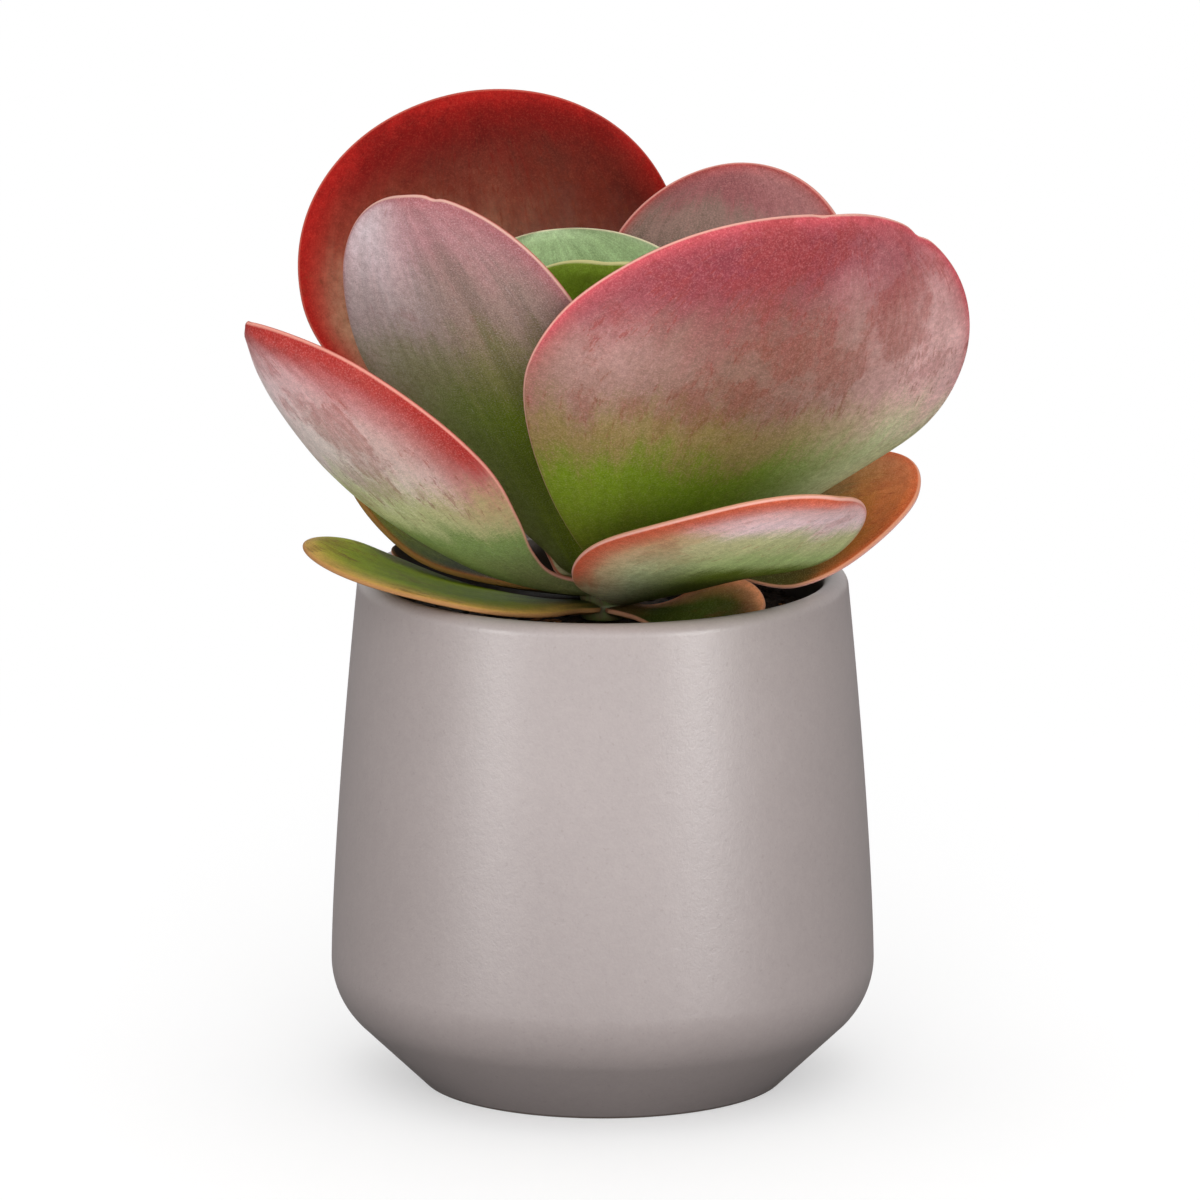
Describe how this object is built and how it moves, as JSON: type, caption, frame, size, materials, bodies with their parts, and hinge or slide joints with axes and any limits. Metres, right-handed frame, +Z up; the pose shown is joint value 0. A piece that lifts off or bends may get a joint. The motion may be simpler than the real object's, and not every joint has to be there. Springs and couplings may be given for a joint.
{
  "type": "potted paddle plant",
  "caption": "Rosette of broad, flat, rounded succulent leaves in opposite pairs on a short stem, growing in soil in a round-bellied pot.",
  "frame": {"origin": "centre of the pot's flat underside, on the pot's axis", "axes": "+Z up along the pot's axis, -Y towards the front, +X to the right as seen from the front"},
  "size_m": [0.1788, 0.1607, 0.2424],
  "materials": {
    "pot_stoneware": "matte warm taupe, faintly mottled",
    "potting_soil": "loose dark potting soil with bits of bark",
    "stem_flesh": "fleshy green stem",
    "leaf_green": "thick fleshy leaf, green with a powdery bloom and a thin pink margin",
    "leaf_rose": "thick fleshy leaf, dusty rose over a green foot, red towards the margin",
    "leaf_crimson": "thick fleshy leaf, deep crimson upper face",
    "leaf_withered": "old, thin, browned leaf"
  },
  "bodies": {
    "root": {"pot": "pot_stoneware", "soil": "potting_soil", "stem": "stem_flesh", "leaf_1_front_right": "leaf_green", "leaf_1_back_left": "leaf_withered", "leaf_2_front_left": "leaf_green", "leaf_2_back_right": "leaf_green", "leaf_3_front_right": "leaf_green", "leaf_3_back_left": "leaf_green", "leaf_4_front_left": "leaf_rose", "leaf_4_back_right": "leaf_rose", "leaf_5_front_right": "leaf_rose", "leaf_5_back_left": "leaf_crimson", "leaf_6_front_left": "leaf_rose", "leaf_6_back_right": "leaf_rose", "leaf_7_front_right": "leaf_green", "leaf_7_back_left": "leaf_green", "leaf_8_front_left": "leaf_green", "leaf_8_back_right": "leaf_green"}
  },
  "joints": []
}
